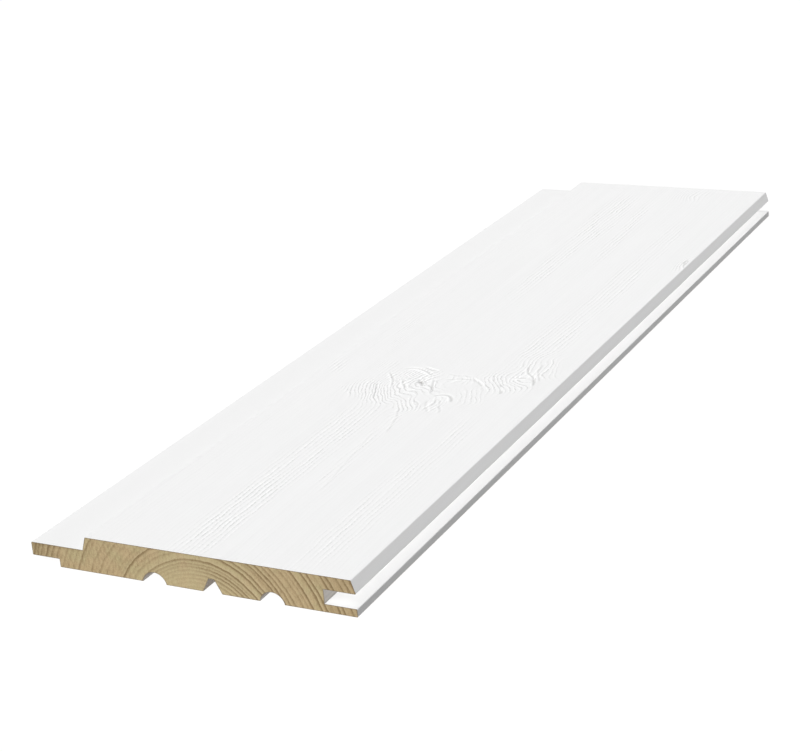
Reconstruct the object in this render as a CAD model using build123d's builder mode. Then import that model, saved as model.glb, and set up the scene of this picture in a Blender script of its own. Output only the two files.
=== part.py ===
"""Tongue-and-groove panelling board with a shadow gap, planed from one piece of softwood.

Millimetres. X runs across the board, Y along its length and Z up from its back to its face. The origin is
at the middle of the back. The tongue points to -X and the groove opens to +X.
"""

import os
from math import radians, tan

from build123d import *

# Overall sizes
board_length = 538.0
board_thickness = 15.0
cover_width = 134.0  # from the back shoulder to the tip of the groove's lips

# Tongue, and the groove that takes the tongue of the next board
tongue_length = 13.0
tongue_thickness = 5.7
tongue_side_clearance = 0.15  # above and below the tongue
tongue_tip_clearance = 0.7
lower_lip_thickness = 3.4

# Visible edges of the face
shadow_gap = 12.0  # open gap that stays between two joined boards, at the foot of their edges
edge_slope = 18.0  # degrees that both edges of the face lean out towards the back
arris_radius = 0.4

# Relief grooves in the back, round ones on both sides of a flat-topped V
relief_pitch = 26.4
relief_offset = 10.75  # from the middle of the overall width to the V
round_relief_radius = 5.5
round_relief_depth = 4.5
v_relief_mouth = 8.6
v_relief_top = 2.4
v_relief_depth = 5.8

# Places across the board
overall_width = tongue_length + cover_width
tongue_tip = -overall_width / 2
back_shoulder = tongue_tip + tongue_length
face_foot = back_shoulder + shadow_gap
lip_tip = overall_width / 2
groove_depth = tongue_length + tongue_tip_clearance

# Heights above the back
tongue_underside = lower_lip_thickness + tongue_side_clearance
tongue_top = tongue_underside + tongue_thickness
groove_top = tongue_top + tongue_side_clearance
groove_height = groove_top - lower_lip_thickness

# How far each edge of the face leans out from its arris to its foot
lean = tan(radians(edge_slope))
shoulder_lean = (board_thickness - tongue_top) * lean
lip_lean = (board_thickness - groove_top) * lean

with BuildPart() as board:
    with BuildSketch(Plane.XZ) as profile:
        with BuildLine():
            Polyline(
                (back_shoulder, 0),
                (lip_tip, 0),
                (lip_tip, groove_top),
                (lip_tip - lip_lean, board_thickness),
                (face_foot + shoulder_lean, board_thickness),
                (face_foot, tongue_top),
                (tongue_tip, tongue_top),
                (tongue_tip, tongue_underside),
                (back_shoulder, tongue_underside),
                close=True,
            )
        make_face()
        with Locations((lip_tip, lower_lip_thickness)):
            Rectangle(groove_depth, groove_height, align=(Align.MAX, Align.MIN), mode=Mode.SUBTRACT)
        round_relief_centre = round_relief_depth - round_relief_radius
        with Locations(
            (relief_offset - relief_pitch, round_relief_centre),
            (relief_offset + relief_pitch, round_relief_centre),
        ):
            Circle(round_relief_radius, mode=Mode.SUBTRACT)
        with BuildLine():
            Polyline(
                (relief_offset - v_relief_mouth / 2, 0),
                (relief_offset + v_relief_mouth / 2, 0),
                (relief_offset + v_relief_top / 2, v_relief_depth),
                (relief_offset - v_relief_top / 2, v_relief_depth),
                close=True,
            )
        make_face(mode=Mode.SUBTRACT)
    extrude(amount=board_length / 2, both=True)

    # The planer leaves the face's two arrises, the tip of the tongue and the tips of the lips slightly rounded
    long_edges = board.edges().filter_by(Axis.Y)
    face_arrises = long_edges.group_by(Axis.Z)[-1]
    tongue_arrises = long_edges.group_by(Axis.X)[0]
    lip_arrises = long_edges.group_by(Axis.X)[-1]
    fillet(face_arrises + tongue_arrises + lip_arrises, radius=arris_radius)

board.part.label = "board"

os.makedirs("parts", exist_ok=True)
export_step(board.part, "parts/board.step")
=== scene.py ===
"""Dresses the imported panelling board: brushed white paint, a spike knot in its face and bare end grain.

It is laid out as an add-on, with one operator for the board and one for the stage, and is run as a script.
"""

from math import asin, cos, pi, radians, sin, tan
from typing import NamedTuple

import bpy
import numpy as np
from bpy.props import FloatProperty, FloatVectorProperty, IntProperty, PointerProperty
from mathutils import Matrix, Vector


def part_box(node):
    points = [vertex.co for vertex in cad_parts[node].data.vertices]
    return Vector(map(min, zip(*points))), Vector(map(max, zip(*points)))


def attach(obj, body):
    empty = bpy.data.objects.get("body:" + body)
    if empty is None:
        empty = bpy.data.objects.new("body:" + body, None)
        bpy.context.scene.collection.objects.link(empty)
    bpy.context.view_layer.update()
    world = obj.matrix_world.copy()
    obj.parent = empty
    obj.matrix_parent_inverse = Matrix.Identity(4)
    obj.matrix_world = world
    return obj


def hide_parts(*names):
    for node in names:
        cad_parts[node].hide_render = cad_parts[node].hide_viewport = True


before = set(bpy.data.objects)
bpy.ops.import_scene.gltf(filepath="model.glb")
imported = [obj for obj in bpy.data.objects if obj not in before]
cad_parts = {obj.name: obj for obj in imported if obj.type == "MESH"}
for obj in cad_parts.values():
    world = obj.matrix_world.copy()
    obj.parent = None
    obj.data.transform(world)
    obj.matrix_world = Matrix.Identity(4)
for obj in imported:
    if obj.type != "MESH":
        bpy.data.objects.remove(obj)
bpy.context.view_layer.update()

bl_info = {
    "name": "Panelling Board",
    "version": (1, 0, 0),
    "blender": (4, 5, 0),
    "location": "3D View > Sidebar > Panelling",
    "description": "Builds a brushed and painted tongue-and-groove board on a white stage",
    "category": "Object",
}

MM = 0.001

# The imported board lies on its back, with its tongue at -X and its near end at -Y
low_corner, high_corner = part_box("board")
TONGUE_TIP, LIP_TIP = low_corner.x, high_corner.x
NEAR_END, FAR_END = low_corner.y, high_corner.y
FACE = high_corner.z


def length(name, description, millimetres):
    """A property that holds a length, given in millimetres."""
    return FloatProperty(
        name=name,
        description=description,
        default=millimetres * MM,
        subtype="DISTANCE",
        unit="LENGTH",
    )


def angle(name, description, degrees):
    """A property that holds an angle, given in degrees."""
    return FloatProperty(
        name=name,
        description=description,
        default=radians(degrees),
        subtype="ANGLE",
        unit="ROTATION",
    )


def level(name, description, default):
    """A property that holds a share or a light level."""
    return FloatProperty(name=name, description=description, default=default, min=0.0)


def colour(name, description, default):
    """A property that holds a linear colour."""
    return FloatVectorProperty(
        name=name, description=description, default=default, subtype="COLOR", min=0.0, max=1.0
    )


class SectionSettings(bpy.types.PropertyGroup):
    """The planed section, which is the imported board's own."""

    tongue_length: length("Tongue Length", "From the back shoulder to the tongue's tip", 13.0)
    tongue_thickness: length("Tongue Thickness", "Height of the tongue", 5.7)
    side_clearance: length("Side Clearance", "Room above and below a tongue in its groove", 0.15)
    tip_clearance: length("Tip Clearance", "Room at the tip of a tongue in its groove", 0.7)
    lower_lip: length("Lower Lip", "Thickness of the lip under the groove", 3.4)
    shadow_gap: length("Shadow Gap", "From the back shoulder to the foot of the face's edge", 12.0)
    edge_slope: angle("Edge Slope", "Lean of both edges of the face", 18.0)
    arris_radius: length("Arris Radius", "Rounding of the planed arrises", 0.4)
    relief_pitch: length("Relief Pitch", "From one relief groove of the back to the next", 26.4)
    relief_offset: length("Relief Offset", "From the board's middle to its middle relief groove", 10.75)
    round_relief_radius: length("Round Relief Radius", "Radius of the outer relief grooves", 5.5)
    round_relief_depth: length("Round Relief Depth", "Depth of the outer relief grooves", 4.5)
    v_relief_mouth: length("V Relief Mouth", "Width of the middle relief groove at the back", 8.6)
    v_relief_top: length("V Relief Top", "Width of the middle relief groove at its top", 2.4)
    v_relief_depth: length("V Relief Depth", "Depth of the middle relief groove", 5.8)


class GrainSettings(bpy.types.PropertyGroup):
    """The brushed relief of the face and the mesh that carries it."""

    column_step: length("Column Step", "Mesh step across the plain part of the face", 1.2)
    fine_column_step: length("Fine Column Step", "Mesh step across the brushed part of the face", 0.38)
    row_step: length("Row Step", "Mesh step along the face", 2.2)
    fine_row_step: length("Fine Row Step", "Mesh step along the face at its knot", 0.75)
    pitch: length("Pitch", "From one brushed line to the next", 2.15)
    line_depth: length("Line Depth", "Depth of the boldest brushed lines", 0.42)
    plain_share: level("Plain Share", "Depth of the lines in plain wood, as a share of that", 0.03)
    seed: IntProperty(name="Seed", description="Start of the random draws", default=11)


class PaintSettings(bpy.types.PropertyGroup):
    """White satin paint on the face, edges and tongue, and a thin coat on the back, with painted shade and
    painted highlights in their colours.
    """

    white: colour("White", "Colour of the paint", (0.86, 0.86, 0.86))
    # The colour in the grooves of the brushed lines is painted shade
    painted_groove_shade: colour("Worn White", "Colour of the paint in the brushed lines", (0.66, 0.66, 0.655))
    # The colour on the ridges of the brushed lines is a painted highlight
    bright: colour("Bright White", "Colour of the paint on the ridges", (0.96, 0.96, 0.96))
    # The colour of the deepest pits is painted shade
    pit: colour("Pit", "Colour of the deepest pit of the knot", (0.36, 0.35, 0.34))
    # The lower lip's colour is painted shade for the groove and the lip's edge
    painted_lip_shade: colour("One Coat", "Colour of the single coat on the lower lip", (0.735, 0.735, 0.735))
    # The back's colour is a thin coat, darkened as painted shade; the groove's inner wall also takes it as
    # painted shade
    back_coat_and_shade: colour("Thin Coat", "Colour of the thin coat on the back", (0.43, 0.374, 0.32))
    roughness: level("Roughness", "Roughness of the paint", 0.6)
    gloss: level("Gloss", "Level of the paint's reflections", 0.1)
    fibre_height: length("Fibre Height", "Height of the wood fibres under the paint", 0.02)
    torn_height: length("Torn Height", "Height of the fibres where the brush tore them", 0.1)


class EndGrainSettings(bpy.types.PropertyGroup):
    """Bare softwood on the two sawn ends, with rings round a pith that lies below the back."""

    yellow: colour("Yellow Wood", "Colour of the pale wood where it is yellow", (0.386, 0.32, 0.17))
    pink: colour("Pink Wood", "Colour of the pale wood where it is pink", (0.405, 0.306, 0.168))
    early: colour("Early Wood", "Colour of the palest wood, outside a dark ring", (0.463, 0.376, 0.222))
    late: colour("Late Wood", "Colour of the dark rings", (0.18, 0.122, 0.052))
    rim: colour("Rim", "Colour of the crushed fibres along the outline", (0.115, 0.095, 0.07))
    rim_width: length("Rim Width", "Width of the crushed fibres along the outline", 0.35)
    pith_across: length("Pith Across", "From the tongue's tip to the pith", 78.0)
    pith_below: length("Pith Below", "From the back down to the pith", 20.0)
    late_width: length("Late Wood Width", "Width of the dark part of a ring", 1.3)


class StageSettings(bpy.types.PropertyGroup):
    """The white floor, the light and the camera."""

    floor_size: length("Floor Size", "Side of the floor", 12000.0)
    floor_gap: length("Floor Gap", "From the board's back down to the floor", 0.2)
    floor_bounce: level("Floor Bounce", "Light that the floor sends back to the board", 0.71)
    shadow_share: level("Shadow Share", "Share of the floor's look that takes the shadow", 0.35)
    ambient: level("Ambient", "Light from all round", 0.1)
    key: level("Key", "Light of the soft lamp that casts a shadow", 0.22)
    fill: level("Fill", "Light of the lamp from the same side that casts none", 1.02)
    lamp_from: FloatVectorProperty(
        name="Lamp From",
        description="Direction from the board to both lamps",
        default=(0.03, -0.63, 0.78),
        subtype="DIRECTION",
    )
    softness: angle("Softness", "Width of both lamps as seen from the board", 25.0)
    camera_place: FloatVectorProperty(
        name="Camera Place",
        description="Where the camera stands",
        default=(0.38277, -0.80666, 0.32458),
        subtype="TRANSLATION",
        unit="LENGTH",
    )
    camera_azimuth: angle("Camera Azimuth", "Turn of the view to the left of the board's length", 27.859)
    camera_elevation: angle("Camera Elevation", "How far the camera looks down", 20.465)
    camera_roll: angle("Camera Roll", "Clockwise roll of the camera", 4.409)
    camera_lens: FloatProperty(
        name="Camera Lens",
        description="Focal length for a sensor 36 mm wide",
        default=85.01,
        unit="CAMERA",
    )


class PanellingSettings(bpy.types.PropertyGroup):
    """All that a user would change."""

    section: PointerProperty(type=SectionSettings)
    grain: PointerProperty(type=GrainSettings)
    paint: PointerProperty(type=PaintSettings)
    end_grain: PointerProperty(type=EndGrainSettings)
    stage: PointerProperty(type=StageSettings)


class Value:
    """A number socket. Arithmetic on it adds Math nodes to its tree."""

    def __init__(self, tree, socket):
        self.tree = tree
        self.socket = socket

    def __add__(self, other):
        return self.tree.math("ADD", self, other)

    __radd__ = __add__

    def __sub__(self, other):
        return self.tree.math("SUBTRACT", self, other)

    def __rsub__(self, other):
        return self.tree.math("SUBTRACT", other, self)

    def __mul__(self, other):
        return self.tree.math("MULTIPLY", self, other)

    __rmul__ = __mul__

    def __pow__(self, other):
        return self.tree.math("POWER", self, other)


class Tree:
    """A node tree. One method adds any node, and the others name the ones used most."""

    def __init__(self, owner):
        owner.use_nodes = True
        self.tree = owner.node_tree
        self.tree.nodes.clear()

    def add(self, kind, settings=None, sockets=None, outputs=(0,)):
        """Adds a node, sets it up, feeds its sockets and returns the asked outputs."""
        node = self.tree.nodes.new(kind)
        for name, value in (settings or {}).items():
            setattr(node, name, value)
        for name, value in (sockets or {}).items():
            self.feed(node.inputs[name], value)
        found = [Value(self, node.outputs[output]) for output in outputs]
        return found[0] if len(found) == 1 else found

    def feed(self, socket, value):
        """Links a value to a socket, or sets the socket to a number or a colour."""
        if isinstance(value, Value):
            self.tree.links.new(value.socket, socket)
        elif socket.type == "RGBA":
            socket.default_value = (*value, 1.0)
        else:
            socket.default_value = value

    def math(self, operation, *values):
        return self.add("ShaderNodeMath", {"operation": operation}, dict(enumerate(values)))

    def ramp(self, value, start, end):
        """0 up to start and 1 from end on, with a smooth step between them."""
        return self.add(
            "ShaderNodeMapRange",
            {"interpolation_type": "SMOOTHSTEP"},
            {"Value": value, "From Min": start, "From Max": end},
        )

    def mix(self, share, first, second):
        """A colour between two others."""
        return self.add("ShaderNodeMix", {"data_type": "RGBA"}, {0: share, 6: first, 7: second}, (2,))

    def stretch(self, vector, scale):
        """A vector times three numbers."""
        return self.add("ShaderNodeVectorMath", {"operation": "MULTIPLY"}, {0: vector, 1: scale})

    def noise(self, vector, detail=2.0, roughness=0.5):
        """Noise from 0 to 1 with features about 1 unit of the vector wide."""
        return self.add(
            "ShaderNodeTexNoise",
            None,
            {"Vector": vector, "Scale": 1.0, "Detail": detail, "Roughness": roughness},
        )

    def bump(self, height, distance):
        """A normal that follows a height, of which 1 stands for a distance in metres."""
        return self.add("ShaderNodeBump", None, {"Height": height, "Distance": distance, "Strength": 1.0})

    def surface(self, shader):
        self.add("ShaderNodeOutputMaterial", None, {"Surface": shader}, ())


def per_mm(across, along, through):
    """Noise scales for features of these sizes, in millimetres."""
    return tuple(1.0 / (size * MM) for size in (across, along, through))


# Shares of the paint's colour: where it is dim, which is between its fibres and as painted shade in the
# shadow gap; for the painted shade on the lower lip's edge; and for the back's coat between its fibres
DIM_SHARE = 0.965
EDGE_SHADE_SHARE = 0.87
BARE_SHARE = 0.75


def shaded(tone, share):
    """A darker colour."""
    return tuple(share * channel for channel in tone)


def white_paint(paint):
    """Satin paint over brushed wood and a thin coat on the back, with painted shade and painted highlights
    in their colours.
    """
    material = bpy.data.materials.new("white_paint")
    tree = Tree(material)
    place = tree.add("ShaderNodeTexCoord", outputs=("Object",))
    fibres = tree.noise(tree.stretch(place, per_mm(0.7, 45.0, 0.7)), 3.0, 0.6)
    torn_fibres = tree.noise(tree.stretch(place, per_mm(0.6, 1.4, 0.6)), 1.0)
    brush_marks = tree.noise(tree.stretch(place, per_mm(4.0, 160.0, 4.0)), 2.0)
    patches = tree.noise(tree.stretch(place, per_mm(30.0, 70.0, 30.0)), 2.0)
    strokes, line, brushed = (
        tree.add("ShaderNodeAttribute", {"attribute_name": name}, None, ("Fac",))
        for name in ("strokes", "line", "brushed")
    )
    between_lines = tree.math("FRACT", line)
    reach = 1.3 * LINE_WIDTH
    ridge = 1.0 - tree.ramp(tree.math("ABSOLUTE", between_lines - RIDGE_PLACE), 0.0, reach)
    groove = 1.0 - tree.ramp(tree.math("ABSOLUTE", between_lines - GROOVE_PLACE), 0.0, reach)

    across, height = tree.add("ShaderNodeSeparateXYZ", None, {0: place}, ("X", "Z"))
    normal = tree.add("ShaderNodeNewGeometry", outputs=("Normal",))
    facing_groove, facing_up = tree.add("ShaderNodeSeparateXYZ", None, {0: normal}, ("X", "Z"))
    facing_down = 1.0 - tree.ramp(facing_up, -0.6, -0.1)
    below_tongue = 1.0 - tree.ramp(height, 0.4 * FACE, 0.5 * FACE)
    deep_in = 1.0 - tree.ramp(across, LIP_TIP - 10.0 * MM, LIP_TIP - 8.0 * MM)
    # Painted shade: the groove's inner wall takes part of the back's darker colour
    groove_wall = tree.ramp(facing_groove, 0.9, 0.99) * deep_in
    back_and_wall_shade = tree.math("MAXIMUM", facing_down * below_tongue, 0.6 * groove_wall)
    on_lower_lip = 1.0 - tree.ramp(height, 0.24 * FACE, 0.3 * FACE)
    off_face = 1.0 - tree.ramp(across, TONGUE_TIP + 24.0 * MM, TONGUE_TIP + 26.0 * MM)
    # Where the shadow gap has painted shade: none before the tongue's tip, growing towards the face
    painted_gap_shade = off_face * tree.ramp(across, TONGUE_TIP - 6.0 * MM, TONGUE_TIP + 15.0 * MM)

    shade = tree.ramp(fibres * 0.5 + brush_marks * 0.5, 0.3, 0.7)
    dim = shaded(paint.white, DIM_SHARE)
    coat = tree.mix(shade * 0.6 + patches * 0.4, dim, paint.white)
    # Painted shade on the tongue and shelf in the shadow gap
    coat = tree.mix(painted_gap_shade, coat, dim)
    torn_away = tree.ramp(torn_fibres, 0.38, 0.62)
    # Painted shade in the grooves of the brushed lines, stronger where the brush tore the fibres, and in
    # the grooves of the knot's strokes
    painted_groove_shade = 2.3 * groove * brushed * (0.2 + 1.6 * torn_away) + tree.ramp(strokes, 0.0, -0.35)
    # Painted highlight on the ridges of the brushed lines and of the knot's strokes, weaker where the brush
    # tore the fibres
    bright = 2.6 * ridge * brushed * (1.8 - 1.6 * torn_away) + tree.ramp(strokes, 0.0, 0.15)
    coat = tree.mix(tree.math("MINIMUM", painted_groove_shade, 1.0), coat, paint.painted_groove_shade)
    coat = tree.mix(tree.math("MINIMUM", bright, 1.0), coat, paint.bright)
    # Painted shade in the deepest pits of the knot, set by their depth
    coat = tree.mix(tree.ramp(strokes, -0.5, -1.0), coat, paint.pit)
    # Painted shade on the lower lip, darker still where it faces the groove side, as on its outer edge
    painted_edge_shade = shaded(paint.painted_lip_shade, EDGE_SHADE_SHARE)
    painted_lip_shade = tree.mix(tree.ramp(facing_groove, 0.5, 0.9), paint.painted_lip_shade, painted_edge_shade)
    coat = tree.mix(on_lower_lip, coat, painted_lip_shade)
    # The back's coat, darkened as painted shade, with darker wood between its fibres
    bare = shaded(paint.back_coat_and_shade, BARE_SHARE)
    thin = tree.mix(tree.ramp(fibres, 0.35, 0.65), bare, paint.back_coat_and_shade)
    rough_height = fibres * paint.fibre_height + brushed * torn_fibres * paint.torn_height
    sockets = {
        "Base Color": tree.mix(back_and_wall_shade, coat, thin),
        "Roughness": paint.roughness + 0.12 * (patches - 0.5) + 0.18 * back_and_wall_shade,
        "Normal": tree.bump(rough_height, 1.0),
        "Specular IOR Level": paint.gloss,
    }
    tree.surface(tree.add("ShaderNodeBsdfPrincipled", None, sockets))
    return material


# The rings of the log: radius in millimetres, and strength towards the tongue and towards the groove
GROWTH_RINGS = (
    (21.5, 0.15, 0.20), (23.4, 0.15, 0.35), (25.2, 0.15, 0.50), (26.9, 0.20, 0.65), (28.6, 0.20, 0.80),
    (30.1, 0.25, 0.85), (31.4, 0.40, 0.45), (33.0, 0.65, 1.00), (36.2, 0.30, 0.95), (38.1, 0.20, 0.80),
    (40.4, 0.90, 0.35), (41.6, 0.15, 0.85), (43.4, 0.20, 0.90), (45.4, 0.10, 0.65), (47.4, 0.20, 0.65),
    (50.3, 0.35, 0.45), (52.2, 0.10, 0.30), (54.0, 0.30, 0.95), (57.8, 0.20, 0.95), (59.8, 0.60, 0.95),
    (62.4, 0.25, 0.30), (65.0, 0.20, 0.95), (67.0, 0.30, 0.85), (70.5, 0.45, 0.55), (73.0, 0.45, 0.60),
    (75.4, 0.75, 0.90), (77.8, 0.50, 0.60), (79.4, 0.40, 0.40), (81.0, 0.75, 0.60),
)


def end_grain(wood):
    """Sawn end grain: rings of late wood, mottled pale wood, pores and a crushed rim."""
    material = bpy.data.materials.new("bare_end_grain")
    tree = Tree(material)
    place = tree.add("ShaderNodeTexCoord", outputs=("Object",))
    across, through = tree.add("ShaderNodeSeparateXYZ", None, {0: place}, ("X", "Z"))
    wander = tree.noise(tree.stretch(place, per_mm(14.0, 60.0, 14.0)), 2.0) - 0.5
    flutter = tree.noise(tree.stretch(place, per_mm(2.0, 30.0, 2.0)), 2.0) - 0.5

    aside = across - (TONGUE_TIP + wood.pith_across)
    above = through + wood.pith_below
    radius = (aside * aside + above * above) ** 0.5 + wander * (1.6 * MM) + flutter * (0.6 * MM)
    to_groove = tree.ramp(aside, -6.0 * MM, 12.0 * MM)
    latewood = 0.0
    earlywood = 0.0
    for ring, tongue_side, groove_side in GROWTH_RINGS:
        strength = tree.math("MULTIPLY_ADD", to_groove, groove_side - tongue_side, tongue_side)
        ring_end = ring * MM + 0.3 * wood.late_width
        dark_part = tree.ramp(radius, ring * MM - wood.late_width, ring * MM)
        outside = tree.ramp(radius, ring * MM, ring_end)
        pale_part = outside * (1.0 - tree.ramp(radius, ring_end, ring_end + wood.late_width))
        latewood = tree.math("MAXIMUM", latewood, dark_part * (1.0 - outside) * strength)
        earlywood = tree.math("MAXIMUM", earlywood, pale_part * strength)

    patches = tree.noise(tree.stretch(place, per_mm(7.0, 40.0, 7.0)), 2.0)
    mottle = tree.noise(tree.stretch(place, per_mm(1.1, 30.0, 3.0)), 3.0, 0.65)
    pores = tree.noise(tree.stretch(place, per_mm(0.4, 8.0, 0.4)), 2.0, 0.7)
    saw_marks = tree.noise(tree.stretch(place, per_mm(0.5, 20.0, 9.0)), 2.0)
    on_tongue = 1.0 - tree.ramp(across, TONGUE_TIP + 9.0 * MM, TONGUE_TIP + 15.0 * MM)
    on_shelf = 1.0 - tree.ramp(across, TONGUE_TIP + 22.0 * MM, TONGUE_TIP + 25.0 * MM)
    shelf_edge = on_shelf * tree.ramp(through, 0.48 * FACE, 0.62 * FACE)
    on_lips = tree.ramp(across, LIP_TIP - 15.0 * MM, LIP_TIP - 12.0 * MM)
    outer = tree.ramp(radius, 26.0 * MM, 44.0 * MM)
    pinkness = tree.ramp(patches + 0.2 * outer + 0.25 * on_lips, 0.5, 0.8)
    paleness = tree.math("MINIMUM", 0.45 * earlywood + 0.35 * (1.0 - outer), 1.0)
    pale = tree.mix(paleness, tree.mix(pinkness, wood.yellow, wood.pink), wood.early)
    mottled = tree.ramp(mottle, 0.4, 0.75) * (0.5 - 0.2 * to_groove) * (0.4 + 0.6 * outer)
    speckled = tree.ramp(pores, 0.4, 0.8) * 0.4
    dry = 0.2 * on_tongue + 0.3 * shelf_edge + 0.14 * on_lips
    dark = tree.math("MINIMUM", 0.9 * latewood + mottled + speckled + dry, 1.0)
    rim = tree.add("ShaderNodeAttribute", {"attribute_name": "rim"}, None, ("Fac",))
    sockets = {
        "Base Color": tree.mix(rim * 0.95, tree.mix(dark, pale, wood.late), wood.rim),
        "Roughness": 0.72 + 0.16 * (pores - 0.5),
        "Normal": tree.bump(saw_marks * 0.6 + pores * 0.4, 0.05 * MM),
    }
    tree.surface(tree.add("ShaderNodeBsdfPrincipled", None, sockets))
    return material


# Steps of an arris and of a round relief groove, and how far from its arc a flat has its first point
ARC_STEPS = 5
RELIEF_STEPS = 20
HOLD = 0.08 * MM


def rounded(before, corner, after, radius):
    """A corner of the section as an arc, with a point close outside each end that keeps the flats flat."""
    if radius == 0:
        return [corner]
    corner = Vector(corner)
    back = (Vector(before) - corner).normalized()
    forth = (Vector(after) - corner).normalized()
    half = back.angle(forth) / 2
    centre = corner + (back + forth).normalized() * (radius / sin(half))
    start = corner + back * (radius / tan(half)) - centre
    sweep = start.angle_signed(corner + forth * (radius / tan(half)) - centre)
    arc = []
    for step in range(ARC_STEPS + 1):
        turn = Matrix.Rotation(-sweep * step / ARC_STEPS, 2)
        arc.append(centre + turn @ start)
    return [arc[0] + back * HOLD, *arc, arc[-1] + forth * HOLD]


def round_relief(middle, section):
    """A round relief groove of the back, from left to right."""
    radius = section.round_relief_radius
    height = section.round_relief_depth - radius
    edge = asin(-height / radius)
    turns = np.linspace(pi - edge, edge, RELIEF_STEPS + 1)
    return [(middle + radius * cos(turn), max(height + radius * sin(turn), 0.0), 0) for turn in turns]


def board_section(section):
    """The section's points in (x, z), from the face's left arris round the back to its right one.

    Returns the left arris, what lies between the two, and the right arris.
    """
    arris = section.arris_radius
    back_shoulder = TONGUE_TIP + section.tongue_length
    face_foot = back_shoulder + section.shadow_gap
    tongue_underside = section.lower_lip + section.side_clearance
    tongue_top = tongue_underside + section.tongue_thickness
    groove_top = tongue_top + section.side_clearance
    groove_wall = LIP_TIP - section.tongue_length - section.tip_clearance
    lean = tan(section.edge_slope)
    middle = section.relief_offset
    v_mouth = section.v_relief_mouth / 2
    v_top = section.v_relief_top / 2
    corners = [
        (face_foot + (FACE - tongue_top) * lean, FACE, arris),
        (face_foot, tongue_top, 0),
        (TONGUE_TIP, tongue_top, arris),
        (TONGUE_TIP, tongue_underside, arris),
        (back_shoulder, tongue_underside, 0),
        (back_shoulder, 0.0, 0),
        *round_relief(middle - section.relief_pitch, section),
        (middle - v_mouth, 0.0, 0),
        (middle - v_top, section.v_relief_depth, 0),
        (middle + v_top, section.v_relief_depth, 0),
        (middle + v_mouth, 0.0, 0),
        *round_relief(middle + section.relief_pitch, section),
        (LIP_TIP, 0.0, arris),
        (LIP_TIP, section.lower_lip, arris),
        (groove_wall, section.lower_lip, 0),
        (groove_wall, groove_top, 0),
        (LIP_TIP, groove_top, arris),
        (LIP_TIP - (FACE - groove_top) * lean, FACE, arris),
    ]
    groups = []
    for number, (x, z, radius) in enumerate(corners):
        before = corners[number - 1][:2]
        after = corners[(number + 1) % len(corners)][:2]
        groups.append(rounded(before, (x, z), after, radius))
    left, right = groups[0], groups[-1]
    between = [point for group in groups[1:-1] for point in group]
    return left[1:-1], [left[-1], *between, right[0]], right[1:-1]


class Patch(NamedTuple):
    """A patch of the face, in millimetres from the near end and from the tongue's tip, and what it adds."""

    along: float
    across: float
    half_length: float
    half_width: float
    amount: float
    turn: float = 0.0

    def aside(self, along, across):
        """Distance from the patch's own long axis."""
        turn = radians(self.turn)
        return (across - self.across) * cos(turn) - (along - self.along) * sin(turn)

    def share(self, along, across, power):
        """1 in the patch and 0 far from it, with an edge that is sharper for a higher power."""
        turn = radians(self.turn)
        ahead = (along - self.along) * cos(turn) + (across - self.across) * sin(turn)
        aside = self.aside(along, across)
        lengthwise = np.abs(ahead / self.half_length) ** power
        sideways = np.abs(aside / self.half_width) ** power
        return np.exp(-lengthwise - sideways)


# Where the brush brought the grain out, with how strongly
BRUSHED_PATCHES = (
    # Straight grain that leads to the knot
    Patch(48, 71, 46, 7.5, 0.55),
    Patch(44, 79, 44, 2.5, 0.50),
    Patch(118, 72, 45, 9.5, 0.38),
    Patch(115, 91, 50, 4, 0.18, -3),
    Patch(56, 124, 52, 8, 0.27),
    Patch(125, 125, 30, 6, 0.20),
    # The knot: its tip, its heart, its spine and its root
    Patch(174, 66, 15, 9, 1.30, -59),
    Patch(164, 88, 8, 6, 0.85, -25),
    Patch(190, 78, 15, 12, 1.00, -25),
    Patch(204, 59, 10, 6, 0.28, -25),
    Patch(168, 100, 9, 5, 0.32, -10),
    Patch(199, 99, 5, 8, 0.40),
    Patch(180, 112, 12, 6, 0.28, -25),
    Patch(202, 120, 13, 11, 0.68, -25),
    # The grain beyond it
    Patch(222, 126, 14, 11, 0.58, -15),
    Patch(256, 120, 44, 10, 0.40, -2),
    Patch(345, 121, 45, 8, 0.30, -1),
    Patch(425, 119, 40, 6, 0.24, -2),
    # The far half with two small knots
    Patch(375, 73, 55, 6, 0.30, -2),
    Patch(460, 71, 48, 9, 0.48, -3),
    Patch(445, 90, 60, 4, 0.30, -5),
    Patch(392, 142, 12, 3, 0.80),
    Patch(522, 104, 12, 10, 0.26),
    Patch(250, 44, 28, 4, 0.25, -12),
    Patch(202, 33, 10, 4, 0.30, -20),
)

# Where the lines turn aside, with how many millimetres lie between them there
TURNS = (
    Patch(174, 66, 14, 15, 1.55, -24),
    Patch(163, 88, 9, 7, 1.70, -32),
    Patch(181, 112, 13, 8, 2.30, -26),
    Patch(222, 127, 17, 13, 1.90, -15),
)

# Where the lines run round something, with how many of them are gained or lost in its middle
SWIRLS = (
    Patch(191, 80, 14, 11, 2.6, -25),
    Patch(206, 122, 9, 8, 2.5, -25),
    Patch(168, 99, 8, 6, -1.0),
    Patch(199, 99, 5, 9, -1.5),
    Patch(227, 132, 10, 5, -1.2, -20),
    Patch(392, 143, 10, 4, 2.0),
    Patch(522, 104, 12, 9, 1.6),
)

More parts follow.
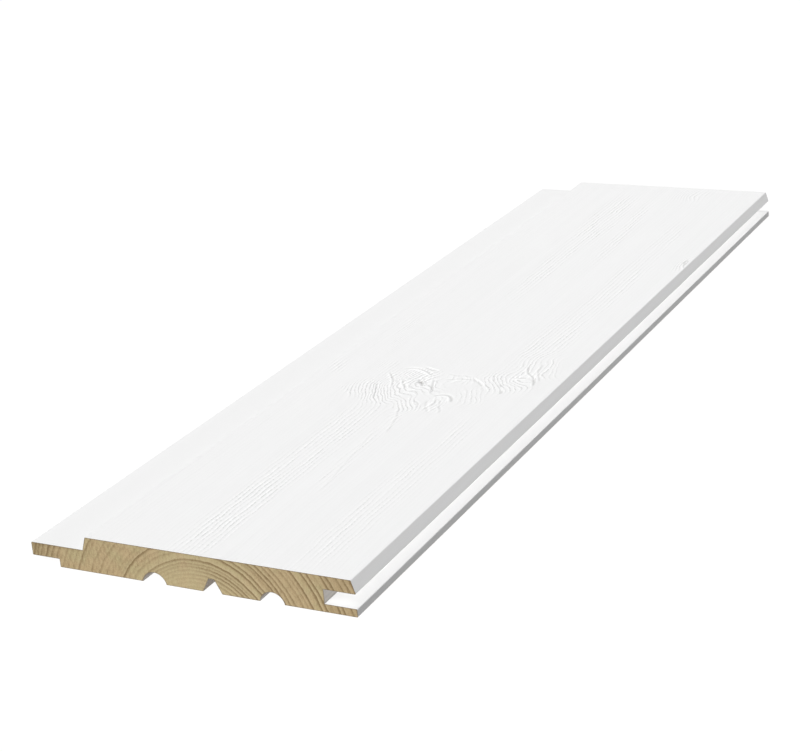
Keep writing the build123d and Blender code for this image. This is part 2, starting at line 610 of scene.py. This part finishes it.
# Single strokes of the knot in millimetres, as (depth, width, points), with the points as (along, across)
KNOT_STROKES = (
    # Bold lines of the grain that leads to it
    (0.20, 0.45, ((62, 96), (85, 93.3), (103, 91), (122, 88.8), (140, 86.5))),
    (0.28, 0.5, ((128, 94), (140, 91.8), (150, 89.2), (162, 84.5))),
    # Its heart
    (0.42, 0.55, ((180, 72), (190, 67.5), (196, 63.5), (200, 60.5))),
    (0.45, 0.55, ((182, 78), (187, 74.2), (193, 71.5))),
    (0.30, 0.6, ((188, 86), (193, 82.8), (197.5, 79.5))),
    (0.36, 0.55, ((179, 92), (186, 89.6), (198, 85))),
    (0.34, 0.7, ((180.5, 84.5), (178, 78))),
    (0.30, 0.6, ((161.5, 93.8), (166, 92), (169.5, 88))),
    # Its far rim
    (0.55, 0.8, ((200, 83.5), (204, 78.5), (206.3, 74), (206.3, 70), (204, 66))),
    (0.36, 0.7, ((210.5, 75), (208.5, 79), (207, 84))),
    # A resin pocket on its near side
    (0.46, 0.8, ((171, 105.4), (176, 103.8), (178.7, 101), (178.2, 97.4), (175.6, 95.2))),
    (0.26, 0.6, ((174, 94.6), (168.5, 95.8), (163, 98.6), (157.5, 101.8))),
    (0.24, 0.6, ((163.5, 103.4), (168.5, 101.6), (172.4, 99.8), (173.4, 97.4))),
    (0.22, 0.6, ((157.5, 106), (162.5, 104.6), (165.8, 101.4), (166.6, 98.8))),
    # Its spine
    (0.32, 0.7, ((199.4, 105), (199.9, 100.5), (198.8, 95.5), (196.2, 90.8))),
    (0.22, 0.6, ((203.4, 102.5), (203.7, 98.5), (203.1, 93.5), (205, 88.5))),
    (0.40, 0.6, ((203, 103), (198, 109), (194, 112.5))),
    # Mottled wood on its groove side
    (0.34, 0.55, ((201, 114.2), (209, 110.8))),
    (0.50, 0.9, ((208.7, 128), (207.3, 120.3))),
    # The grain that turns round its groove end
    (0.50, 0.6, ((199, 134), (208, 131.2), (212, 128.3), (216, 124.8), (225, 121.8))),
    (0.34, 0.55, ((205, 135), (214, 131), (219, 128.8), (229, 127.5))),
)

# Pits, with their depth in millimetres
PITS = (
    Patch(192.3, 81.4, 2.8, 1.1, 1.00, -32),
    Patch(198.0, 119.6, 1.8, 0.9, 0.45, -28),
    Patch(190.2, 122.6, 1.8, 0.9, 0.45, -28),
    Patch(207.0, 131.4, 2.6, 0.8, 0.30, -20),
    Patch(186.0, 90.0, 4.0, 0.8, 0.30, -22),
    Patch(394.0, 142.6, 3.5, 0.9, 0.70, -5),
)

# Where a brushed line has its ridge and its groove, and how wide both are, as shares of the pitch
RIDGE_PLACE = 0.28
GROOVE_PLACE = 0.62
LINE_WIDTH = 0.17

# How high a ridge and how deep a groove is, as shares of their line's depth
RIDGE_SHARE = 0.36
GROOVE_SHARE = 0.76

# How far the ridge and the groove of a single stroke lie from its path, as a share of its width
STROKE_OFFSET = 0.75

# The spike knot: its middle in millimetres and the direction across it
KNOT_MIDDLE = (188.0, 98.0)
KNOT_NORMAL = (0.841, -0.542)

# The disturbed wood: how far its middle lies beyond the knot's, and its half sizes, in millimetres
KNOT_LEAD = 6.0
KNOT_HALF_WIDTH = 22.0
KNOT_HALF_LENGTH = 60.0

# How far the knot shifts the grain on its far side, in millimetres
GRAIN_SHIFT = 10.2

# Random numbers repeat after this many places or lines
REPEAT = 97

# Stretches of the face in millimetres that need the finer mesh
BRUSHED_ACROSS = ((54.0, 139.0),)
KNOT_ALONG = ((158.0, 219.0),)


def smooth_path(points, samples):
    """A Catmull-Rom curve through the points."""
    points = np.array(points, float)
    padded = np.vstack([2 * points[0] - points[1], points, 2 * points[-1] - points[-2]])
    place = np.linspace(0, len(points) - 1, samples)
    span = np.minimum(place.astype(int), len(points) - 2)
    t = (place - span)[:, None]
    a, b, c, d = (padded[span + offset] for offset in range(4))
    return 0.5 * (2 * b + (c - a) * t + (2 * a - 5 * b + 4 * c - d) * t**2 + (3 * b - a - 3 * c + d) * t**3)


def smooth_step(value, start, end):
    """0 up to start and 1 from end on, with a smooth step between them."""
    share = np.clip((value - start) / (end - start), 0, 1)
    return share * share * (3 - 2 * share)


def lattice_noise(x, y, random):
    """Smooth noise from -1 to 1 with features about 1 unit wide."""
    lattice = random.uniform(-1, 1, (REPEAT, REPEAT))
    column, row = np.floor(x).astype(int), np.floor(y).astype(int)
    right, up = smooth_step(x - column, 0, 1), smooth_step(y - row, 0, 1)
    corners = [[lattice[(column + i) % REPEAT, (row + j) % REPEAT] for j in (0, 1)] for i in (0, 1)]
    lower, upper = (corners[0][j] * (1 - right) + corners[1][j] * right for j in (0, 1))
    return lower * (1 - up) + upper * up


def press_stroke(height, along, across, path, depth, width):
    """Adds one stroke to a height map: a ridge of hard late wood with a groove beside it that the brush
    wore away.
    """
    margin = 4 * width
    rows = slice(*np.searchsorted(along, (path[:, 0].min() - margin, path[:, 0].max() + margin)))
    columns = slice(*np.searchsorted(across, (path[:, 1].min() - margin, path[:, 1].max() + margin)))
    grid = np.stack(np.meshgrid(along[rows], across[columns], indexing="ij"), -1)
    steps = np.diff(path, axis=0)
    lengths = np.hypot(*steps.T)
    offset = grid[:, :, None, :] - path[:-1]
    share = np.clip((offset * steps).sum(-1) / lengths**2, 0, 1)
    gap = offset - share[..., None] * steps
    distance = np.hypot(gap[..., 0], gap[..., 1])
    nearest = distance.argmin(-1)[..., None]
    distance = np.take_along_axis(distance, nearest, -1)[..., 0]
    share = np.take_along_axis(share, nearest, -1)[..., 0]
    nearest = nearest[..., 0]
    to_point = np.take_along_axis(offset, nearest[..., None, None], 2)[:, :, 0]
    side = np.sign(steps[nearest, 0] * to_point[..., 1] - steps[nearest, 1] * to_point[..., 0])

    reached = np.concatenate([[0], np.cumsum(lengths)])
    run = reached[nearest] + share * lengths[nearest]
    end_fade = 0.2 * reached[-1]
    strength = smooth_step(run, 0, end_fade) * smooth_step(reached[-1] - run, 0, end_fade)
    ridge = np.exp(-((side * distance / width + STROKE_OFFSET) ** 2))
    groove = np.exp(-((side * distance / width - STROKE_OFFSET) ** 2))
    height[rows, columns] += depth * strength * (RIDGE_SHARE * ridge - GROOVE_SHARE * groove)


def grain_lines(grain, rows, columns, random):
    """The number of the brushed line at each place, with a fraction between lines, and its strength."""
    # The spike knot runs across the board at a slant and shifts the grain on its far side
    ahead = rows - KNOT_MIDDLE[0]
    aside = columns - KNOT_MIDDLE[1]
    beyond = KNOT_NORMAL[0] * ahead + KNOT_NORMAL[1] * aside
    beside = KNOT_NORMAL[0] * aside - KNOT_NORMAL[1] * ahead
    sideways = (beyond - KNOT_LEAD) / KNOT_HALF_WIDTH
    lengthwise = beside / KNOT_HALF_LENGTH
    in_knot = np.exp(-(sideways**4) - lengthwise**4)
    shift = GRAIN_SHIFT * smooth_step(beyond, -13, 13) * smooth_step(columns, 38, 58)
    drift = 1.4 * np.sin(rows / 83.0) + 0.5 * np.sin(rows / 31.0 + 1.0)
    line = (columns + shift + drift) * MM / grain.pitch
    for turn in TURNS:
        middle = np.abs(rows[:, 0] - turn.along).argmin(), np.abs(columns[0] - turn.across).argmin()
        turned = line[middle] + turn.aside(rows, columns) / turn.amount
        line += turn.share(rows, columns, 4) * (turned - line)
    for swirl in SWIRLS:
        line += swirl.amount * swirl.share(rows, columns, 2)
    line += (0.2 + 0.25 * in_knot) * lattice_noise(rows / 7, columns / 4, random)
    line += 0.25 * in_knot * lattice_noise(rows / 2.5, columns / 2, random)

    # Lines fade where they crowd, and where they spread out
    lines_per_mm = np.hypot(*np.gradient(line, rows[:, 0], columns[0]))
    fade = smooth_step(lines_per_mm, 0.1, 0.3) * (1 - smooth_step(lines_per_mm, 0.85, 1.15))
    strength = np.full_like(line, grain.plain_share)
    for patch in BRUSHED_PATCHES:
        strength = np.maximum(strength, patch.amount * patch.share(rows, columns, 4))
    number = np.floor(line).astype(int) % REPEAT
    wave_length = random.uniform(4, 11, REPEAT)[number]
    start = random.uniform(0, 2 * pi, REPEAT)[number]
    weight = random.uniform(0.6, 1.1, REPEAT)[number]
    strength *= fade * weight * (0.75 + 0.25 * np.sin(rows / wave_length + start))
    strength *= 1 + 0.6 * (1 - in_knot) * lattice_noise(rows / 10, columns / 3, random)
    return line, strength


def brushed_relief(grain, along, across):
    """Maps of the brushed face, by steps along and steps across.

    They are its height and that of its single strokes alone, in millimetres, its lines and their strength.
    """
    random = np.random.default_rng(grain.seed)
    rows, columns = np.meshgrid(along, across, indexing="ij")
    line, strength = grain_lines(grain, rows, columns, random)
    place = line - np.floor(line)
    ridge = np.exp(-(((place - RIDGE_PLACE) / LINE_WIDTH) ** 2))
    groove = np.exp(-(((place - GROOVE_PLACE) / LINE_WIDTH) ** 2))
    strokes = np.zeros_like(line)
    for depth, width, points in KNOT_STROKES:
        press_stroke(strokes, along, across, smooth_path(points, 8 * len(points)), depth, width)
    for pit in PITS:
        strokes -= pit.amount * pit.share(rows, columns, 2)
    height = strokes + grain.line_depth / MM * strength * (RIDGE_SHARE * ridge - GROOVE_SHARE * groove)
    return height, strokes, line, strength


def spaced(start, end, step, fine_step, fine_stretches):
    """Places from start to end, all in millimetres, that lie closer together in some stretches."""
    samples = 4001
    blend = 8.0
    line = np.linspace(start, end, samples)
    density = np.full_like(line, 1 / step)
    for first, last in fine_stretches:
        inside = smooth_step(line, first - blend, first) * (1 - smooth_step(line, last, last + blend))
        density += inside * (1 / fine_step - 1 / step)
    count = np.concatenate([[0], np.cumsum(density[:-1] * np.diff(line))])
    return np.interp(np.linspace(0, count[-1], int(round(count[-1])) + 1), count, line)


# The flanks have one row of points for this many rows of the face
FLANK_STRIDE = 6

# The relief fades out over this many millimetres at both arrises of the face
EDGE_FADE = 1.2

# Faces that meet at more than this angle have a sharp edge between them
SHARP_ANGLE = radians(35)

# A map for programs that take the finishes as pictures.
# It has one strip for the face and the flanks, with their common edge in its middle, and one for each end.
MAP_NAME = "OFBake"
MAP_MARGIN = 0.01
MAP_SIDES = (0.01, 0.39, 0.77)
MAP_NEAR_END = (0.78, 0.88)
MAP_FAR_END = (0.89, 0.99)


def brushed_face(grain, left, right):
    """The face from right to left: its section, its rows, its relief and what the paint shows of it."""
    flat_start = (left[0].x - TONGUE_TIP) / MM
    flat_end = (right[-1].x - TONGUE_TIP) / MM
    flat = spaced(flat_start, flat_end, grain.column_step / MM, grain.fine_column_step / MM, BRUSHED_ACROSS)
    inner = TONGUE_TIP + flat[-2:0:-1] * MM
    face_x = np.array([*(point.x for point in right), *inner, *(point.x for point in left)])
    face_z = np.array([*(point.y for point in right), *(FACE for _ in inner), *(point.y for point in left)])
    board_length = (FAR_END - NEAR_END) / MM
    rows = spaced(0.0, board_length, grain.row_step / MM, grain.fine_row_step / MM, KNOT_ALONG)
    across = (face_x - TONGUE_TIP) / MM
    maps = brushed_relief(grain, rows, across[::-1])
    relief, strokes, line, strength = (layer[:, ::-1] for layer in maps)
    relief = relief * smooth_step(np.minimum(across - flat_start, flat_end - across), 0, EDGE_FADE)
    return face_x, face_z, rows, relief, {"strokes": strokes, "line": line, "brushed": strength}


def swept(x, y, z):
    """The points of a section at each place along the board."""
    return np.stack(np.broadcast_arrays(x, y[:, None], z), -1)


def quads(grid):
    """The faces between the rows and columns of a grid of point numbers."""
    corners = (grid[:-1, :-1], grid[1:, :-1], grid[1:, 1:], grid[:-1, 1:])
    return np.stack(corners, -1).reshape(-1, 4).tolist()


def bridges(face_grid, flank_grid, breaks):
    """The faces that join the fine rows at both sides of the face to the coarse rows of the flanks."""
    faces = []
    for span, (start, end) in enumerate(zip(breaks[:-1], breaks[1:])):
        left_side = face_grid[start : end + 1, -1].tolist()
        faces.append([*left_side, flank_grid[span + 1, 0], flank_grid[span, 0]])
        right_side = face_grid[start : end + 1, 0].tolist()
        faces.append([flank_grid[span, -1], flank_grid[span + 1, -1], *reversed(right_side)])
    return faces


def inset(loop, distance):
    """The points of a counter-clockwise loop moved inwards by a distance."""
    ahead = np.roll(loop, -1, axis=0) - loop
    ahead /= np.hypot(*ahead.T)[:, None]
    behind = np.roll(ahead, 1, axis=0)
    inward = np.stack([-ahead[:, 1] - behind[:, 1], ahead[:, 0] + behind[:, 0]], -1)
    return loop + distance * inward / (1 + (ahead * behind).sum(-1))[:, None]


def sawn_end(points, outline, rim_width):
    """The inner points of an end, and its faces: a rim along its outline and a cap inside that."""
    loop = inset(points[outline][:, [0, 2]], rim_width)
    inner_points = np.stack(np.broadcast_arrays(loop[:, 0], points[outline[0], 1], loop[:, 1]), -1)
    inner = len(points) + np.arange(len(loop))
    rim = np.stack([outline, np.roll(outline, -1), np.roll(inner, -1), inner], -1)
    return inner_points, [*rim.tolist(), inner.tolist()]


def travelled(x, z):
    """How far the points of a path lie from its start, as shares of its length."""
    run = np.concatenate([[0], np.cumsum(np.hypot(np.diff(x), np.diff(z)))])
    return run / run[-1]


def unrolled(points, faces, run, side_faces):
    """Places on the map for all corners of the faces.

    A point's run goes from 0 to 1 over the face and on to 2 over the flanks, where it meets the face again.
    """
    counts = [len(face) for face in faces]
    owner = np.repeat(np.arange(len(faces)), counts)
    corner = np.concatenate(faces)
    x, y, z = points[corner].T
    closes = np.maximum.reduceat(run[corner], np.cumsum([0, *counts[:-1]]))[owner] == 2
    place = np.where(closes & (run[corner] == 0), 2, run[corner])
    along = (y - NEAR_END) / (FAR_END - NEAR_END)
    across = (x - TONGUE_TIP) / (LIP_TIP - TONGUE_TIP)
    far = along > 0.5
    height = np.where(far, np.interp(z, (0, FACE), MAP_FAR_END), np.interp(z, (0, FACE), MAP_NEAR_END))
    on_end = owner >= side_faces
    u = np.where(on_end, np.where(far, 1 - across, across), along)
    v = np.where(on_end, height, np.interp(place, (0, 1, 2), MAP_SIDES))
    return np.stack([MAP_MARGIN + (1 - 2 * MAP_MARGIN) * u, v], -1)


def board_mesh(settings):
    """The board as one closed mesh: a face with fine rows, flanks with coarse rows, and two ends."""
    left, flanks, right = board_section(settings.section)
    face_x, face_z, rows, relief, layers = brushed_face(settings.grain, left, right)
    flank_x, flank_z = np.array([tuple(point) for point in flanks]).T
    y = NEAR_END + rows * MM
    breaks = np.unique([*range(0, len(rows), FLANK_STRIDE), len(rows) - 1])
    face_points = swept(face_x, y, face_z + relief * MM)
    flank_points = swept(flank_x, y[breaks], flank_z)
    points = np.concatenate([face_points.reshape(-1, 3), flank_points.reshape(-1, 3)])
    face_grid = np.arange(relief.size).reshape(relief.shape)
    flank_grid = np.arange(relief.size, len(points)).reshape(len(breaks), len(flank_x))
    face_run = np.tile(travelled(face_x, face_z), len(rows))
    flank_run = np.tile(1 + travelled(flank_x, flank_z), len(breaks))

    faces = quads(face_grid) + quads(flank_grid) + bridges(face_grid, flank_grid, breaks)
    side_faces = len(faces)
    outlines = [np.concatenate([face_grid[row], flank_grid[row]]) for row in (0, -1)]
    for outline, order in zip(outlines, (1, -1)):
        inner_points, end_faces = sawn_end(points, outline, settings.end_grain.rim_width)
        points = np.concatenate([points, inner_points])
        faces += [face[::order] for face in end_faces]
    rim = np.zeros(len(points))
    rim[np.concatenate(outlines)] = 1.0
    run = np.zeros(len(points))
    run[: len(face_run) + len(flank_run)] = np.concatenate([face_run, flank_run])

    mesh = bpy.data.meshes.new("panelling_board")
    mesh.from_pydata(points, [], faces)
    for name, values in {"rim": rim, **layers}.items():
        padded = np.zeros(len(points), np.float32)
        padded[: values.size] = values.ravel()
        mesh.attributes.new(name, "FLOAT", "POINT").data.foreach_set("value", padded)
    places = unrolled(points, faces, run, side_faces)
    mesh.uv_layers.new(name=MAP_NAME).uv.foreach_set("vector", places.astype(np.float32).ravel())
    ends = np.arange(len(faces)) >= side_faces
    mesh.polygons.foreach_set("material_index", ends.astype(np.int32))
    mesh.polygons.foreach_set("use_smooth", np.ones(len(faces), bool))
    mesh.set_sharp_from_angle(angle=SHARP_ANGLE)
    if mesh.validate():
        raise RuntimeError("the board's mesh has faces that Blender had to mend")
    return mesh


class PANELLING_OT_board(bpy.types.Operator):
    """Build the brushed and painted board in place of the plain packed one"""

    bl_idname = "panelling.board"
    bl_label = "Build Board"

    def execute(self, context):
        settings = context.scene.panelling
        mesh = board_mesh(settings)
        mesh.materials.append(white_paint(settings.paint))
        mesh.materials.append(end_grain(settings.end_grain))
        board = bpy.data.objects.new("panelling_board", mesh)
        context.scene.collection.objects.link(board)
        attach(board, "root")
        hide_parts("board")
        return {"FINISHED"}


def seen_directly(tree):
    """1 for rays from the camera, and for those that gloss or glass sends on."""
    camera, glossy, transmitted = tree.add(
        "ShaderNodeLightPath",
        outputs=("Is Camera Ray", "Is Glossy Ray", "Is Transmission Ray"),
    )
    return tree.math("MAXIMUM", tree.math("MAXIMUM", camera, glossy), transmitted)


def floor_material(stage):
    """White to the eye with part of its shadow, a pale floor to the light, and clear from below."""
    material = bpy.data.materials.new("white_floor")
    tree = Tree(material)
    lit = tree.add("ShaderNodeBsdfDiffuse", None, {"Color": (1.0, 1.0, 1.0)})
    glowing = tree.add("ShaderNodeEmission", None, {"Color": (1.0, 1.0, 1.0), "Strength": 1.0})
    bounce = tree.add("ShaderNodeBsdfDiffuse", None, {"Color": (stage.floor_bounce,) * 3})
    clear = tree.add("ShaderNodeBsdfTransparent")
    from_below = tree.add("ShaderNodeNewGeometry", outputs=("Backfacing",))
    white = tree.add("ShaderNodeMixShader", None, {0: stage.shadow_share, 1: glowing, 2: lit})
    shown = tree.add("ShaderNodeMixShader", None, {0: from_below, 1: white, 2: clear})
    tree.surface(tree.add("ShaderNodeMixShader", None, {0: seen_directly(tree), 1: bounce, 2: shown}))
    return material


def white_world(context, stage):
    """White to the eye, and an even soft light on the board."""
    world = bpy.data.worlds.new("white_studio")
    context.scene.world = world
    tree = Tree(world)
    strength = stage.ambient + (1.0 - stage.ambient) * seen_directly(tree)
    light = tree.add("ShaderNodeBackground", None, {"Color": (1.0, 1.0, 1.0), "Strength": strength})
    tree.add("ShaderNodeOutputWorld", None, {"Surface": light}, ())


def add_lamp(context, name, stage, strength, shadow):
    """A distant lamp. At a strength of 1 a white sheet that faces it looks white."""
    lamp = bpy.data.lights.new(name, "SUN")
    lamp.energy = pi * strength
    lamp.angle = stage.softness
    lamp.use_shadow = shadow
    lamp_object = bpy.data.objects.new(name, lamp)
    lamp_object.rotation_euler = Vector(stage.lamp_from).to_track_quat("Z", "Y").to_euler()
    context.scene.collection.objects.link(lamp_object)


class PANELLING_OT_stage(bpy.types.Operator):
    """Build the white floor, the lamps and the camera"""

    bl_idname = "panelling.stage"
    bl_label = "Build Stage"

    def execute(self, context):
        stage = context.scene.panelling.stage
        half = stage.floor_size / 2
        mesh = bpy.data.meshes.new("floor")
        corners = [(-half, -half), (half, -half), (half, half), (-half, half)]
        mesh.from_pydata([(x, y, -stage.floor_gap) for x, y in corners], [], [(0, 1, 2, 3)])
        mesh.materials.append(floor_material(stage))
        floor = bpy.data.objects.new("floor", mesh)
        context.scene.collection.objects.link(floor)

        white_world(context, stage)
        add_lamp(context, "key_lamp", stage, stage.key, True)
        add_lamp(context, "fill_lamp", stage, stage.fill, False)

        camera = bpy.data.cameras.new("camera")
        camera.lens = stage.camera_lens
        camera_object = bpy.data.objects.new("camera", camera)
        turn = Matrix.Rotation(stage.camera_azimuth, 4, "Z")
        tilt = Matrix.Rotation(pi / 2 - stage.camera_elevation, 4, "X")
        roll = Matrix.Rotation(-stage.camera_roll, 4, "Z")
        camera_object.matrix_world = Matrix.Translation(stage.camera_place) @ turn @ tilt @ roll
        context.scene.collection.objects.link(camera_object)
        context.scene.camera = camera_object
        context.scene.view_settings.view_transform = "Standard"
        return {"FINISHED"}


class PANELLING_PT_sidebar(bpy.types.Panel):
    """The board's settings and its two operators"""

    bl_idname = "PANELLING_PT_sidebar"
    bl_label = "Panelling Board"
    bl_space_type = "VIEW_3D"
    bl_region_type = "UI"
    bl_category = "Panelling"

    def draw(self, context):
        settings = context.scene.panelling
        for group in (settings.section, settings.grain, settings.paint, settings.end_grain):
            box = self.layout.box()
            for name in group.__annotations__:
                box.prop(group, name)
        self.layout.operator(PANELLING_OT_board.bl_idname)
        box = self.layout.box()
        for name in settings.stage.__annotations__:
            box.prop(settings.stage, name)
        self.layout.operator(PANELLING_OT_stage.bl_idname)


CLASSES = (
    SectionSettings,
    GrainSettings,
    PaintSettings,
    EndGrainSettings,
    StageSettings,
    PanellingSettings,
    PANELLING_OT_board,
    PANELLING_OT_stage,
    PANELLING_PT_sidebar,
)


def register():
    for cls in CLASSES:
        bpy.utils.register_class(cls)
    bpy.types.Scene.panelling = PointerProperty(type=PanellingSettings)


def unregister():
    del bpy.types.Scene.panelling
    for cls in reversed(CLASSES):
        bpy.utils.unregister_class(cls)


def main():
    register()
    bpy.ops.panelling.board()
    bpy.ops.panelling.stage()


if __name__ == "__main__":
    main()
